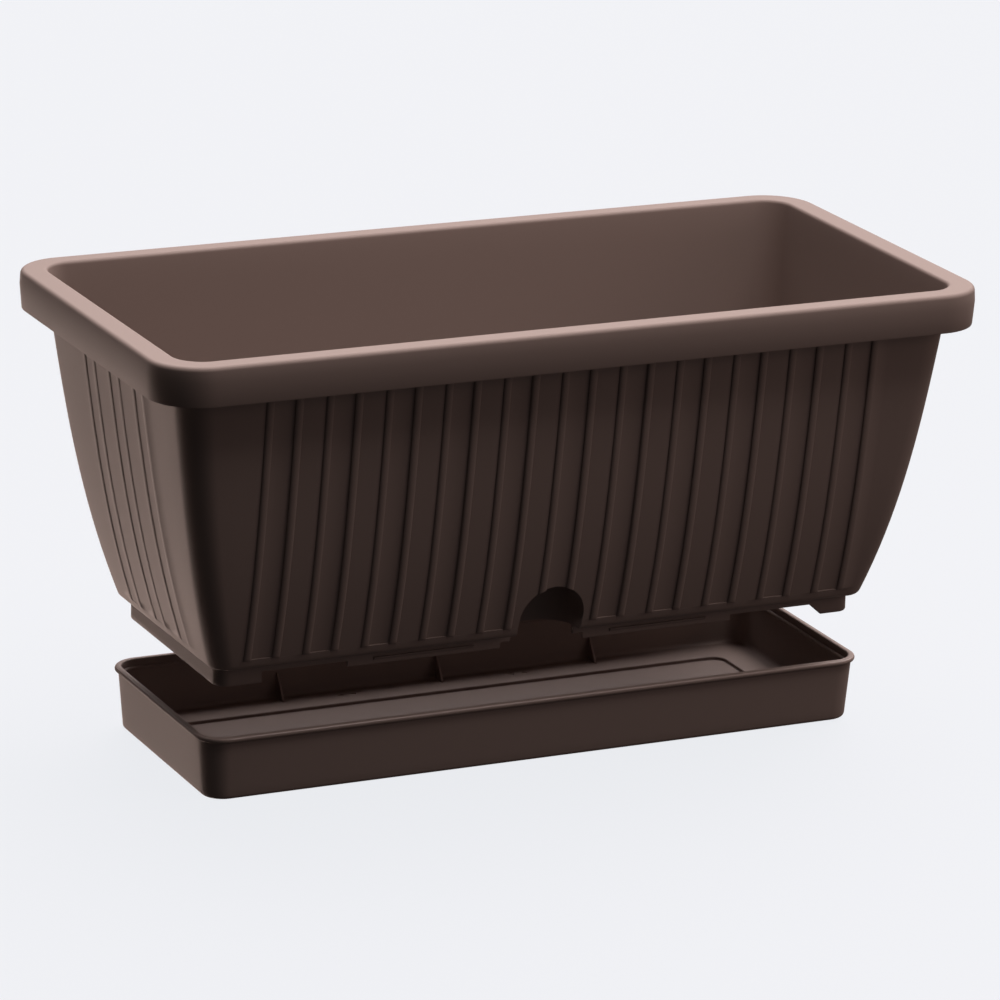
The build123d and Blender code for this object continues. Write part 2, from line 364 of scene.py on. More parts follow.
@dataclass(frozen=True)
class RibPattern:
    """Channels along a side, each a hollow between two raised beads.

    Attributes:
        count: Number of channels.
        pitch: Distance between channels.
        apart: Distance between a channel's beads.
        width: Width of a bead.
        height: Height of a bead.
        depth: Depth of the hollow.
    """

    count: int
    pitch: float
    apart: float
    width: float = 4.8
    height: float = 1.15
    depth: float = 0.8

    def centres(self) -> list[float]:
        """Centres of the channels along the side."""
        return [(i - (self.count - 1) / 2) * self.pitch for i in range(self.count)]

    def places(self) -> list[float]:
        """Distances along the side where the skin needs a station."""
        made = []
        hollow = (self.apart - self.width) / 2
        for centre in self.centres():
            made += [centre + (hollow - 0.15) * step for step in (-1, -0.8, -0.45, 0, 0.45, 0.8, 1)]
            made.append(centre + self.pitch / 2)
            for side in (-1, 1):
                bead = centre + side * self.apart / 2
                made += [bead + self.width / 2 * math.sin(math.radians(a)) for a in fine_steps(-90, 90, 8)]
        return made[:-1]

    def relief(self, along: float) -> Pair:
        """Height of the bead and depth of the hollow at a distance along the side.

        Args:
            along: Distance from the middle of the side.

        Returns:
            Bead height and hollow depth, one of them zero.
        """
        off = min(abs(along - centre) for centre in self.centres())
        across = (off - self.apart / 2) / (self.width / 2)
        if abs(across) <= 1.0:
            return self.height * math.sqrt(max(0.0, 1.0 - across * across)), 0.0
        if across < -1.0:
            share = off / ((self.apart - self.width) / 2)
            return 0.0, self.depth * (1.0 - 0.55 * share**2)
        return 0.0, 0.0


@dataclass(frozen=True)
class Grain:
    """Values for the moulded grain group in one material.

    Attributes:
        fine: Fineness of the grain, in lumps for each metre.
        cloud: Fineness of the cloudy variation, in lumps for each metre.
        flow: Fineness across the flow streaks, in streaks for each metre.
    """

    fine: float = 1500.0
    cloud: float = 22.0
    flow: float = 240.0


def grain_group() -> bpy.types.NodeTree:
    """Shared surface of moulded plastic: grain, clouds, flow streaks and fine dust.

    Returns:
        Node group with masks and a bump height.
    """
    name = "moulded_grain"
    if name in bpy.data.node_groups:
        return bpy.data.node_groups[name]
    group = bpy.data.node_groups.new(name, "ShaderNodeTree")
    socket = group.interface.new_socket
    socket("Place", in_out="INPUT", socket_type="NodeSocketVector")
    for label, value in (("Fine", 1500.0), ("Cloud", 22.0), ("Flow", 240.0)):
        socket(label, in_out="INPUT", socket_type="NodeSocketFloat").default_value = value
    for label in ("Clouds", "Streaks", "Dust", "Height"):
        socket(label, in_out="OUTPUT", socket_type="NodeSocketFloat")
    node, link = group.nodes.new, group.links.new
    start, end = node("NodeGroupInput"), node("NodeGroupOutput")

    def lumps(scale: str, detail: float, roughness: float) -> bpy.types.Node:
        """Noise whose fineness comes from a named input."""
        made = node("ShaderNodeTexNoise")
        made.inputs["Detail"].default_value = detail
        made.inputs["Roughness"].default_value = roughness
        link(start.outputs["Place"], made.inputs["Vector"])
        link(start.outputs[scale], made.inputs["Scale"])
        return made

    def spread(source: bpy.types.NodeSocket, low: float, high: float) -> bpy.types.NodeSocket:
        """Stretch a value between two limits to the range 0 to 1."""
        made = node("ShaderNodeMapRange")
        made.interpolation_type = "SMOOTHSTEP"
        made.inputs["From Min"].default_value = low
        made.inputs["From Max"].default_value = high
        link(source, made.inputs["Value"])
        return made.outputs["Result"]

    fine = lumps("Fine", 3.0, 0.6)
    cloud = lumps("Cloud", 4.0, 0.55)
    flat = node("ShaderNodeMapping")
    flat.inputs["Scale"].default_value = (0.06, 0.06, 1.0)
    link(start.outputs["Place"], flat.inputs["Vector"])
    streak = lumps("Flow", 2.0, 0.5)
    link(flat.outputs["Vector"], streak.inputs["Vector"])
    speck = node("ShaderNodeMath")
    speck.operation = "MULTIPLY"
    link(spread(fine.outputs["Fac"], 0.56, 0.74), speck.inputs[0])
    link(spread(cloud.outputs["Fac"], 0.4, 0.75), speck.inputs[1])
    link(spread(cloud.outputs["Fac"], 0.3, 0.7), end.inputs["Clouds"])
    link(spread(streak.outputs["Fac"], 0.3, 0.7), end.inputs["Streaks"])
    link(speck.outputs["Value"], end.inputs["Dust"])
    link(fine.outputs["Fac"], end.inputs["Height"])
    return group


@dataclass(frozen=True)
class MouldedPlastic:
    """Finish of the brown mouldings: satin skin with fine grain, faint clouds and a painted highlight along sharply
    bent edges.

    Attributes:
        name: Name of the material.
        dark: Colour of the skin.
        light: Colour where the clouds are lightest.
        dust: Colour of fine dust and scuffs.
        smooth: Lowest roughness.
        rough: Highest roughness.
        grain: Fineness of grain, clouds and streaks.
        bump: Depth of the grain in metres.
        painted_edge_highlight: Pale colour painted on sharply bent outer edges as a highlight.
        edge: Bend of the surface at which the painted highlight starts, and at which it is at full strength.
    """

    name: str
    dark: tuple[float, float, float] = (0.038, 0.0250, 0.0195)
    light: tuple[float, float, float] = (0.052, 0.0350, 0.0275)
    dust: tuple[float, float, float] = (0.095, 0.073, 0.062)
    smooth: float = 0.30
    rough: float = 0.38
    grain: Grain = Grain()
    bump: float = 0.00003
    # Painted highlight: pale colour mixed into the skin where the surface bends sharply.
    painted_edge_highlight: tuple[float, float, float] = (0.30, 0.225, 0.20)
    edge: Pair = (0.503, 0.52)

    def material(self) -> bpy.types.Material:
        """Build the material, or give the one already built.

        Returns:
            The material.
        """
        if self.name in bpy.data.materials:
            return bpy.data.materials[self.name]
        made = bpy.data.materials.new(self.name)
        made.use_nodes = True
        tree = made.node_tree
        node, link = tree.nodes.new, tree.links.new
        shader = tree.nodes["Principled BSDF"]
        place = node("ShaderNodeTexCoord")
        grain = node("ShaderNodeGroup")
        grain.node_tree = grain_group()
        grain.inputs["Fine"].default_value = self.grain.fine
        grain.inputs["Cloud"].default_value = self.grain.cloud
        grain.inputs["Flow"].default_value = self.grain.flow
        link(place.outputs["Object"], grain.inputs["Place"])

        def blend(share: bpy.types.NodeSocket, strength: float, low: object, high: object) -> bpy.types.NodeSocket:
            """Mix two colours by a mask times a strength."""
            amount = node("ShaderNodeMath")
            amount.operation = "MULTIPLY"
            amount.inputs[1].default_value = strength
            link(share, amount.inputs[0])
            mix = node("ShaderNodeMix")
            mix.data_type = "RGBA"
            link(amount.outputs["Value"], mix.inputs["Factor"])
            for key, value in (("A", low), ("B", high)):
                socket = [s for s in mix.inputs if s.name == key and s.type == "RGBA"][0]
                if isinstance(value, tuple):
                    socket.default_value = (*value, 1.0)
                else:
                    link(value, socket)
            return [s for s in mix.outputs if s.type == "RGBA"][0]

        skin = blend(grain.outputs["Clouds"], 0.7, self.dark, self.light)
        skin = blend(grain.outputs["Streaks"], 0.25, skin, self.light)
        skin = blend(grain.outputs["Dust"], 0.22, skin, self.dust)
        # Painted highlight: surface bend picks the edges that get the pale highlight colour.
        bend, highlight_mask = node("ShaderNodeNewGeometry"), node("ShaderNodeMapRange")
        highlight_mask.inputs["From Min"].default_value, highlight_mask.inputs["From Max"].default_value = self.edge
        link(bend.outputs["Pointiness"], highlight_mask.inputs["Value"])
        skin = blend(highlight_mask.outputs["Result"], 0.6, skin, self.painted_edge_highlight)
        link(skin, shader.inputs["Base Color"])
        rough = node("ShaderNodeMapRange")
        rough.inputs["To Min"].default_value = self.smooth
        rough.inputs["To Max"].default_value = self.rough
        link(grain.outputs["Clouds"], rough.inputs["Value"])
        link(rough.outputs["Result"], shader.inputs["Roughness"])
        bump = node("ShaderNodeBump")
        bump.inputs["Strength"].default_value = 0.35
        bump.inputs["Distance"].default_value = self.bump
        link(grain.outputs["Height"], bump.inputs["Height"])
        link(bump.outputs["Normal"], shader.inputs["Normal"])
        shader.inputs["IOR"].default_value = 1.5
        shader.inputs["Specular IOR Level"].default_value = 0.5
        return made


@dataclass(frozen=True)
class Felt:
    """Finish of the wicks: pale pressed fibres, matt and a little fuzzy.

    Attributes:
        name: Name of the material.
        pale: Colour of clean felt.
        grey: Colour of the darker fibres.
    """

    name: str = "wick_felt"
    pale: tuple[float, float, float] = (0.55, 0.52, 0.46)
    grey: tuple[float, float, float] = (0.30, 0.28, 0.25)

    def material(self) -> bpy.types.Material:
        """Build the material, or give the one already built.

        Returns:
            The material.
        """
        if self.name in bpy.data.materials:
            return bpy.data.materials[self.name]
        made = bpy.data.materials.new(self.name)
        made.use_nodes = True
        tree = made.node_tree
        node, link = tree.nodes.new, tree.links.new
        shader = tree.nodes["Principled BSDF"]
        place = node("ShaderNodeTexCoord")
        stretch = node("ShaderNodeMapping")
        stretch.inputs["Scale"].default_value = (1.0, 0.55, 0.25)
        link(place.outputs["Object"], stretch.inputs["Vector"])
        fibre = node("ShaderNodeTexNoise")
        fibre.inputs["Scale"].default_value = 2200.0
        fibre.inputs["Detail"].default_value = 4.0
        fibre.inputs["Distortion"].default_value = 1.6
        link(stretch.outputs["Vector"], fibre.inputs["Vector"])
        ramp = node("ShaderNodeValToRGB")
        ramp.color_ramp.elements[0].position = 0.35
        ramp.color_ramp.elements[0].color = (*self.grey, 1.0)
        ramp.color_ramp.elements[1].position = 0.62
        ramp.color_ramp.elements[1].color = (*self.pale, 1.0)
        link(fibre.outputs["Fac"], ramp.inputs["Fac"])
        link(ramp.outputs["Color"], shader.inputs["Base Color"])
        bump = node("ShaderNodeBump")
        bump.inputs["Strength"].default_value = 0.7
        bump.inputs["Distance"].default_value = 0.0004
        link(fibre.outputs["Fac"], bump.inputs["Height"])
        link(bump.outputs["Normal"], shader.inputs["Normal"])
        shader.inputs["Roughness"].default_value = 0.95
        shader.inputs["Sheen Weight"].default_value = 0.3
        return made


@dataclass
class PlanterBox:
    """Planter box moulding: walls, flanged rim, ribs, skirt, clip tabs and port pocket.

    Heights are measured from the underside of the end skirts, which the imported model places.
    """

    rim_half: Pair = (252.6, 126.3)
    rim_radius: float = 30.0
    rim_top: float = 201.9
    band_height: float = 22.6
    band_draft: float = 1.0
    rim_round: float = 2.8
    inner_round: float = 2.2
    wall: float = 2.4
    wall_half: Pair = (236.2, 111.3)
    wall_radius: Pair = (18.0, 12.0)
    wall_slope: float = 0.127
    wall_bow: float = 11.3
    base_z: float = 11.6
    base_round: float = 4.5
    floor: float = 2.6
    floor_round: float = 4.0
    rib_bottom: float = 18.0
    long_ribs: RibPattern = RibPattern(11, 35.4, 17.2)
    end_ribs: RibPattern = RibPattern(3, 38.0, 15.0, height=0.35, depth=0.12)
    skirt_half: Pair = (198.8, 69.8)
    skirt_radius: float = 8.0
    skirt_wall: float = 2.4
    skirt_bottom: float = 6.5
    foot_inner: float = 172.0
    foot_outer: float = 179.4
    tab_span: Pair = (26.0, 120.0)
    tab_bottom: float = 3.0
    ledge_span: Pair = (43.0, 104.0)
    ledge_z: float = 7.0
    ledge_out: float = 1.2
    port_radius: float = 20.0
    port_spring: float = 22.0
    port_axis_y: float = -72.0
    port_wall: float = 2.2
    drain_radius: float = 4.0
    drain_x: tuple[float, ...] = (-165.0, -107.0, -35.0, 35.0, 107.0, 165.0)
    drain_y: Pair = (-30.0, 30.0)
    wick_x: tuple[float, ...] = (-135.0, -80.0, 80.0, 135.0)
    wick_y: float = 8.0
    wick_hole: Pair = (10.0, 12.0)
    finish: MouldedPlastic = MouldedPlastic("box_plastic")
    name: str = "planter_box_moulding"

    def __post_init__(self) -> None:
        """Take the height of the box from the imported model."""
        self.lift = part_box("planter_box")[0][2] / MM
        self.band_bottom = self.rim_top - self.band_height

    def inset(self, z: float) -> float:
        """Inset of the wall at a height, from its size just under the band."""
        drop = self.band_bottom - z
        bow = max(drop, 0.0) / (self.band_bottom - self.base_z)
        return self.wall_slope * drop + self.wall_bow * bow**3

    def wall_line(self, z: float, grow: float, out: Callable[[Station], float] | None = None) -> Line:
        """Line of the wall at a height.

        Args:
            z: Height.
            grow: Distance out of the wall's outside.
            out: Relief of each station.

        Returns:
            The line.
        """
        inset = self.inset(z) - grow
        down = (self.band_bottom - z) / (self.band_bottom - self.base_z)
        radius = self.wall_radius[0] + (self.wall_radius[1] - self.wall_radius[0]) * down + grow
        half = (self.wall_half[0] - inset, self.wall_half[1] - inset)
        return Line(half, radius, z + self.lift, out)

    def rounded(self, base: Line, points: Iterable[Pair]) -> list[Line]:
        """Lines of a profile measured outwards from a base line.

        Args:
            base: Line that the outward distances are measured from.
            points: Outward distances and heights.

        Returns:
            One line for each point.
        """
        return [
            Line((base.half[0] + out, base.half[1] + out), base.radius + out, z + self.lift)
            for out, z in points
        ]

    def walk(self) -> Walk:
        """Stations that the ribs, tabs, ledges and feet need.

        Returns:
            The walk round the box.
        """
        edge = 0.06
        steps = [end + side * edge for end in self.tab_span for side in (-1, 1)]
        steps += [self.ledge_span[0] - 0.4, *self.ledge_span, self.ledge_span[1] + 0.4]
        steps += [self.foot_inner, self.foot_inner + edge, self.foot_outer, 184.0]
        wanted = self.long_ribs.places() + steps + [-step for step in steps]
        return Walk(tuple(sorted(wanted)), tuple(sorted(self.end_ribs.places())))

    def edge_height(self, station: Station) -> float:
        """Height of the skirt's lower edge at a station.

        Args:
            station: Place on the way round.

        Returns:
            The height above the underside of the end skirts.
        """
        along = abs(station.along)
        if not station.side.is_long() or not station.on_straight() or along >= self.foot_outer:
            return 0.0
        on_left = (station.along < 0) == (station.side is Side.FRONT)
        if on_left and along > self.foot_inner:
            return 0.0
        if along > self.foot_inner:
            share = (along - self.foot_inner) / (self.foot_outer - self.foot_inner)
            return self.skirt_bottom * (1.0 - share)
        if self.tab_span[0] <= along <= self.tab_span[1]:
            return self.tab_bottom
        return self.skirt_bottom

    def skirt_lines(self) -> list[Line]:
        """Lines under the floor, down the skirt's inside and up its outside.

        Returns:
            Lines from the middle of the underside to the top of the skirt.
        """

        def hang(share: float) -> Callable[[Station], float]:
            """Height at a share of the way from the skirt's edge to the floor."""
            return lambda at: self.lift + self.edge_height(at) * (1 - share) + self.base_z * share

        def ledge(share: float) -> Callable[[Station], float]:
            """How far the snap ledge stands out at a share of its height."""
            return lambda at: (
                self.ledge_out * share
                if at.side.is_long() and at.on_straight() and self.ledge_span[0] <= abs(at.along) <= self.ledge_span[1]
                else 0.0
            )

        def at(inset: float, share: float, out: float = 0.0) -> Line:
            """Line of the skirt, moved in from its outside."""
            half = (self.skirt_half[0] - inset, self.skirt_half[1] - inset)
            return Line(half, self.skirt_radius - inset, hang(share), ledge(out))

        top = (self.ledge_z - self.tab_bottom) / (self.base_z - self.tab_bottom)
        inner = self.skirt_wall
        return [
            at(inner + 5.0, 1.0),
            at(inner + 0.8, 1.0),
            at(inner, 0.92),
            at(inner, 0.06),
            at(inner - 0.4, 0.0),
            at(0.4, 0.0),
            at(0.0, 0.06),
            at(0.0, top - 0.2),
            at(0.0, top - 0.02, 1.0),
            at(0.0, top + 0.02, 1.0),
            at(0.0, top + 0.03),
            at(0.0, 0.97),
            at(0.0, 1.0),
        ]

    def ribbed(self, bead: float, hollow: float) -> Callable[[Station], float]:
        """Relief of the ribbed walls.

        Args:
            bead: Share of the bead height.
            hollow: Share of the hollow depth.

        Returns:
            Function from a station to how far it stands out.
        """

        def out(station: Station) -> float:
            """Relief at one station."""
            if not station.on_straight():
                return 0.0
            pattern = self.long_ribs if station.side.is_long() else self.end_ribs
            up, down = pattern.relief(station.along)
            return up * bead - down * hollow

        return out

    def outer_lines(self) -> list[Line]:
        """Lines round the base edge and up the ribbed outside to the underside of the rim.

        Returns:
            Lines from the base to the rim.
        """
        lean = math.degrees(math.atan(self.wall_slope + 3 * self.wall_bow / (self.band_bottom - self.base_z)))
        rise = self.base_round * (1 - math.sin(math.radians(lean)))
        start = self.wall_line(self.base_z + rise, 0.0)
        centre = (-self.base_round * math.cos(math.radians(lean)), self.base_z + self.base_round)
        made = self.rounded(start, Arc(centre, self.base_round, -90, -lean, 6).points())
        foot = self.rib_bottom
        for z, bead, hollow in (
            (foot - 0.6, 0.0, 0.0),
            (foot - 0.35, 0.5, 0.0),
            (foot + 0.1, 0.8, 0.0),
            (foot + 0.4, 0.92, 1.0),
            (foot + 1.2, 1.0, 1.0),
        ):
            made.append(self.wall_line(z, 0.0, self.ribbed(bead, hollow)))
        for z in fine_steps(foot + 5.0, self.band_bottom + 4.0, 18):
            made.append(self.wall_line(z, 0.0, self.ribbed(1.0, 1.0)))
        made.append(self.wall_line(self.band_bottom + 5.0, 0.0))
        made.append(self.wall_line(self.rim_top - self.wall - 0.6, 0.0))
        return made

    def rim_lines(self) -> list[Line]:
        """Lines round the hollow under the rim, the band, the flat top and the inner edge.

        Returns:
            Lines from the underside of the rim to the top of the inner wall.
        """
        outer = Line(self.rim_half, self.rim_radius, 0.0)
        under = self.rim_top - self.wall
        inner = -(self.rim_half[0] - self.wall_half[0]) - self.inset(self.rim_top) - self.wall
        low = self.band_bottom
        lean = self.band_draft
        profile = [(inner + self.wall + 0.8, under), (-self.wall - 0.8, under), (-self.wall, under - 0.8)]
        profile += [(-self.wall - lean, low + 0.5), (-self.wall - lean + 0.5, low), (-lean - 0.7, low)]
        profile += [(-lean - 0.2, low + 0.15), (-lean, low + 0.7), (-lean * 0.35, low + self.band_height * 0.4)]
        profile += [(0.0, low + self.band_height * 0.62)]
        profile += Arc((-self.rim_round - 0.35, self.rim_top - self.rim_round), self.rim_round, 9, 88, 8).points()
        flat = (-self.rim_round - 0.35, inner + self.inner_round)
        profile += [(flat[0] - 1.0, self.rim_top), ((flat[0] + flat[1]) / 2, self.rim_top + 0.05)]
        profile += [(flat[1] + 1.0, self.rim_top)]
        made = self.rounded(outer, profile)
        edge = self.wall_line(self.rim_top, -self.wall)
        centre = (self.inner_round, self.rim_top - self.inner_round)
        return made + self.rounded(edge, Arc(centre, self.inner_round, 92, 174, 6).points())

    def inner_lines(self) -> list[Line]:
        """Lines down the inner wall, round the floor's edge and on to the floor.

        Returns:
            Lines from the inner edge of the rim to the floor.
        """
        top = self.base_z + self.floor
        made = [
            self.wall_line(z, -self.wall)
            for z in fine_steps(self.rim_top - 6.0, top + self.floor_round + 2.0, 14)
        ]
        start = self.wall_line(top + self.floor_round * 0.7, -self.wall)
        centre = (-self.floor_round * 0.95, top + self.floor_round)
        made += self.rounded(start, Arc(centre, self.floor_round, -18, -90, 6).points())
        return made + self.rounded(start, [(-self.floor_round - 6.0, top)])

    def port_solid(self, grow: float, bottom: float, front: float) -> bpy.types.Object:
        """Arched tunnel from the front with an upright rounded back.

        Args:
            grow: Distance out of the port's own inside.
            bottom: Lowest height.
            front: The y where it starts.

        Returns:
            Helper solid.
        """
        radius = self.port_radius + grow
        spring = self.port_spring
        arch = bmesh.new()
        outline = [arch.verts.new((radius * x, 0, z)) for x, z in ((-1, bottom), (1, bottom))]
        for angle in fine_steps(0, 180, 36):
            turn = math.radians(angle)
            outline.append(arch.verts.new((radius * math.cos(turn), 0, spring + radius * math.sin(turn))))
        face = arch.faces.new(outline)
        pushed = bmesh.ops.extrude_face_region(arch, geom=[face])["geom"]
        depth = self.port_axis_y + radius + 4.0 - front
        bmesh.ops.translate(arch, verts=[v for v in pushed if isinstance(v, bmesh.types.BMVert)], vec=(0, depth, 0))
        bmesh.ops.recalc_face_normals(arch, faces=arch.faces)
        move = Matrix.Translation(Vector((0, front, self.lift)) * MM) @ Matrix.Scale(MM, 4)
        bmesh.ops.transform(arch, matrix=move, verts=arch.verts)
        tunnel = piece_from(arch, "port_tunnel")
        back = bmesh.new()
        outline = [back.verts.new((radius * x, front - 1.0, 0)) for x in (-1, 1)]
        for angle in fine_steps(0, 180, 48):
            turn = math.radians(angle)
            outline.append(back.verts.new((radius * math.cos(turn), self.port_axis_y + radius * math.sin(turn), 0)))
        face = back.faces.new(outline)
        pushed = bmesh.ops.extrude_face_region(back, geom=[face])["geom"]
        bmesh.ops.translate(back, verts=[v for v in pushed if isinstance(v, bmesh.types.BMVert)], vec=(0, 0, 140))
        bmesh.ops.recalc_face_normals(back, faces=back.faces)
        move = Matrix.Translation(Vector((0, 0, self.lift - 40.0)) * MM) @ Matrix.Scale(MM, 4)
        bmesh.ops.transform(back, matrix=move, verts=back.verts)
        join_solid(tunnel, piece_from(back, "port_back"), Joining.KEEP_COMMON)
        return tunnel

    def pocket(self) -> bpy.types.Object:
        """Wall of the port's pocket inside the box, trimmed inside the front wall.

        Returns:
            Helper solid.
        """
        solid = self.port_solid(self.port_wall, self.base_z + 0.6, -96.0)
        made = bmesh.new()
        made.from_mesh(solid.data)
        low, high = self.base_z, self.port_spring + self.port_radius + self.port_wall + 2.0
        y_low, y_high = (-(self.wall_half[1] - self.inset(z) - self.wall * 0.6) for z in (low, high))
        on_low = Vector((0, y_low, low + self.lift)) * MM
        away = Vector((0, high - low, -(y_high - y_low))).normalized()
        bmesh.ops.bisect_plane(
            made,
            geom=[*made.verts, *made.edges, *made.faces],
            plane_co=on_low,
            plane_no=-away,
            clear_outer=True,
        )
        bmesh.ops.holes_fill(made, edges=[e for e in made.edges if e.is_boundary], sides=0)
        bmesh.ops.recalc_face_normals(made, faces=made.faces)
        bpy.data.meshes.remove(solid.data)
        return piece_from(made, "port_pocket")

    def openings(self) -> bpy.types.Object:
        """Drain holes and wick slots through the floor.

        Returns:
            Helper solid.
        """
        made = bmesh.new()
        middle = self.lift + self.base_z
        for x in self.drain_x:
            for y in self.drain_y:
                cylinder(made, Vector((x, y, middle)), self.drain_radius, 12.0, 28)
        for x in self.wick_x:
            across, deep = self.wick_hole
            cuboid(
                made,
                (x - across, x + across),
                (self.wick_y - deep, self.wick_y + deep),
                (middle - 6.0, middle + 6.0),
            )
        return piece_from(made, "floor_openings")

    def build(self) -> bpy.types.Object:
        """Build the moulding.

        Returns:
            The piece, riding on the box body.
        """
        lines = self.skirt_lines() + self.outer_lines() + self.rim_lines() + self.inner_lines()
        piece = piece_from(Skin(self.walk(), lines).mesh(), self.name)
        join_solid(piece, self.pocket(), Joining.ADD)
        join_solid(piece, self.port_solid(0.0, -6.0, -104.0), Joining.CUT)
        join_solid(piece, self.openings(), Joining.CUT)
        shade(piece)
        return piece

    def dress(self, piece: bpy.types.Object) -> None:
        """Give the moulding its finish and its place in the model."""
        piece.data.materials.clear()
        piece.data.materials.append(self.finish.material())
        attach(piece, "box")
        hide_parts("planter_box")


@dataclass
class Saucer:
    """Saucer moulding: recessed floor panel, flared walls, rolled lip, inner bead and gussets."""

    height: float = 37.9
    base_half: Pair = (202.6, 72.5)
    top_half: Pair = (205.7, 74.9)
    corner: Pair = (13.0, 15.0)
    wall: float = 2.2
    floor: float = 4.0
    base_round: float = 2.6
    floor_round: float = 2.4
    lip_out: float = 1.8
    lip_height: float = 3.4
    bead_z: float = 32.5
    bead_out: float = 1.0
    panel_half: Pair = (177.0, 48.0)
    panel_radius: float = 8.0
    panel_depth: float = 1.8
    gusset_depth: float = 9.0
    gusset_thick: float = 1.3
    gusset_top: float = 19.0
    back_gussets: tuple[float, ...] = (-102.3, -0.5, 100.0)
    front_gussets: tuple[float, ...] = (-100.0, 100.0)
    dimple_x: tuple[float, ...] = (-66.0, -58.0, 44.0, 53.0)
    dimple_y: float = 61.0
    dimple_radius: float = 1.7
    finish: MouldedPlastic = MouldedPlastic("saucer_plastic")
    # Pale copy of the plastic, painted on the lip and gusset edges as a highlight.
    painted_highlight_finish: MouldedPlastic = MouldedPlastic(
        "polished_edge_plastic", dark=(0.20, 0.150, 0.130), light=(0.25, 0.185, 0.165), dust=(0.28, 0.22, 0.19)
    )
    name: str = "saucer_moulding"

    def __post_init__(self) -> None:
        """Take the saucer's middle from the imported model."""
        low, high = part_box("saucer")
        self.middle = Vector(((low[0] + high[0]) / 2, (low[1] + high[1]) / 2, 0.0))

    def wall_line(self, z: float, grow: float) -> Line:
        """Line of the flared wall at a height, moved out of its outside by grow."""
        share = z / self.height
        half = tuple(low + (high - low) * share + grow for low, high in zip(self.base_half, self.top_half))
        return Line(half, self.corner[0] + (self.corner[1] - self.corner[0]) * share + grow, z)

    def profile(self) -> list[Line]:
        """Lines from the underside, up the outside, over the lip and down to the floor panel.

        Returns:
            The lines in order.
        """
        foot = self.wall_line(self.base_round, 0.0)

        def stepped(base: Line, points: Iterable[Pair]) -> list[Line]:
            """Lines at outward distances from a base line."""
            return [Line((base.half[0] + out, base.half[1] + out), base.radius + out, z) for out, z in points]

        made = stepped(foot, [(-self.base_round - 4.0, 0.0)])
        made += stepped(foot, Arc((-self.base_round, self.base_round), self.base_round, -90, -4, 6).points())
        made += [self.wall_line(z, 0.0) for z in fine_steps(8.0, self.height - self.lip_height - 0.4, 5)]
        lip = self.wall_line(self.height, self.lip_out)
        half = self.lip_height / 2
        roll = half * 0.92
        middle = self.height - half
        made += stepped(lip, [(-self.lip_out + 0.1, self.height - self.lip_height), (-roll, self.height - self.lip_height)])
        made += stepped(lip, Arc((-roll, middle), roll, -85, 85, 9).points())
        made += stepped(lip, [(-roll - 0.2, self.height)])
        inner = self.wall_line(self.height, -self.wall)
        made += stepped(inner, Arc((1.0, self.height - 1.0), 1.0, 95, 178, 4).points())
        bead = self.bead_z
        made += [self.wall_line(bead + 1.2, -self.wall), self.wall_line(bead + 0.7, -self.wall - self.bead_out * 0.8)]
        made += [self.wall_line(bead, -self.wall - self.bead_out)]
        made += [self.wall_line(bead - 0.8, -self.wall - self.bead_out * 0.6), self.wall_line(bead - 1.4, -self.wall)]
        made += [self.wall_line(z, -self.wall) for z in fine_steps(bead - 4.0, self.floor + self.floor_round + 1.5, 5)]
        corner = self.wall_line(self.floor + self.floor_round, -self.wall)
        centre = (-self.floor_round, self.floor + self.floor_round)
        made += stepped(corner, Arc(centre, self.floor_round, -4, -90, 6).points())
        made += stepped(corner, [(-self.floor_round - 1.5, self.floor)])
        panel = Line(self.panel_half, self.panel_radius, 0.0)
        low = self.floor - self.panel_depth
        made += stepped(panel, [(1.6, self.floor), (0.5, self.floor), (0.15, self.floor - 0.3)])
        made += stepped(panel, [(0.0, low + 0.3), (-0.4, low), (-1.6, low)])
        return made

    def gussets(self) -> bpy.types.Object:
        """Thin triangular blades between the floor and the long walls.

        Returns:
            Helper solid.
        """
        made = bmesh.new()
        low_y, high_y = (self.wall_line(z, -self.wall / 2).half[1] for z in (self.floor, self.gusset_top))
        foot_y = self.base_half[1] - self.wall - self.gusset_depth
        outline = [(foot_y, self.floor - 0.6), (low_y, self.floor - 0.6), (high_y, self.gusset_top)]
        outline += [(high_y - 1.6, self.gusset_top), (foot_y, self.floor + 0.8)]
        for places, side in ((self.back_gussets, 1), (self.front_gussets, -1)):
            for x in places:
                corners = [made.verts.new((x - self.gusset_thick / 2, side * y, z)) for y, z in outline]
                face = made.faces.new(corners)
                pushed = bmesh.ops.extrude_face_region(made, geom=[face])["geom"]
                moved = [v for v in pushed if isinstance(v, bmesh.types.BMVert)]
                bmesh.ops.translate(made, verts=moved, vec=(self.gusset_thick, 0, 0))
        bmesh.ops.recalc_face_normals(made, faces=made.faces)
        bmesh.ops.transform(made, matrix=Matrix.Scale(MM, 4), verts=made.verts)
        edges = [e for e in made.edges if e.calc_length() > 15 * MM and abs((e.verts[0].co - e.verts[1].co).z) > 10 * MM]
        bmesh.ops.bevel(
            made, geom=edges, offset=0.35 * MM, segments=2, profile=0.5, affect="EDGES", material=-1, clamp_overlap=True
        )
        return piece_from(made, "gussets")

    def dimples(self) -> bpy.types.Object:
        """Small pin marks in the floor by the back wall.

        Returns:
            Helper solid.
        """
        made = bmesh.new()
        for x in self.dimple_x:
            cylinder(made, Vector((x, self.dimple_y, self.floor)), self.dimple_radius, 1.0, 20)
        return piece_from(made, "pin_marks")

    def build(self) -> bpy.types.Object:
        """Build the moulding.

        Returns:
            The piece.
        """
        long_places = tuple(float(x) for x in range(-150, 151, 15))
        end_places = tuple(float(y) for y in range(-36, 37, 12))
        piece = piece_from(Skin(Walk(long_places, end_places), self.profile()).mesh(), self.name)
        join_solid(piece, self.gussets(), Joining.ADD)
        join_solid(piece, self.dimples(), Joining.CUT)
        piece.data.transform(Matrix.Translation(self.middle))
        shade(piece)
        return piece

